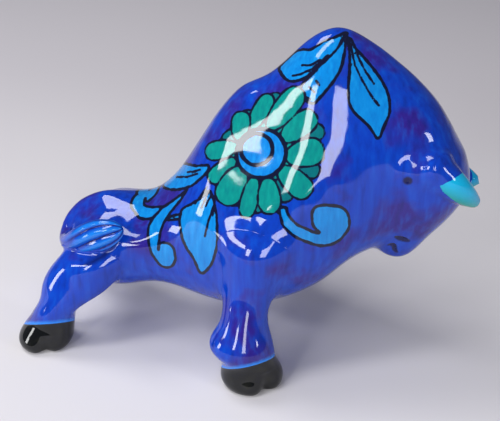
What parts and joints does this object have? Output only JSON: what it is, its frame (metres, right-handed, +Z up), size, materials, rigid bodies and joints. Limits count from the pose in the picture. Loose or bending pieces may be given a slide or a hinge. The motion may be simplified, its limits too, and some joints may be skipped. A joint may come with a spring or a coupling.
{
  "type": "bull figurine",
  "caption": "Free-standing glazed earthenware bull that charges with lowered head, high shoulder hump, splayed legs, cloven hooves, horns and a tail laid along one flank.",
  "frame": {"origin": "on the ground, under the middle of the figure's length and width", "axes": "+X the way the bull faces, +Y its left side, +Z up"},
  "size_m": [0.2354, 0.1294, 0.1695],
  "materials": {
    "cobalt_glaze": "gloss, brushed cobalt blue with painted flowers and leaves under a clear glaze",
    "turquoise_glaze": "gloss turquoise, greener below",
    "black_glaze": "gloss black"
  },
  "bodies": {
    "root": {"right_body_half": "cobalt_glaze", "left_body_half": "cobalt_glaze", "right_foreleg": "cobalt_glaze", "left_foreleg": "cobalt_glaze", "right_hindleg": "cobalt_glaze", "left_hindleg": "cobalt_glaze", "tail": "cobalt_glaze", "right_horn": "turquoise_glaze", "left_horn": "turquoise_glaze", "right_foreleg_hoof": "black_glaze", "left_foreleg_hoof": "black_glaze", "right_hindleg_hoof": "black_glaze", "left_hindleg_hoof": "black_glaze"}
  },
  "joints": []
}
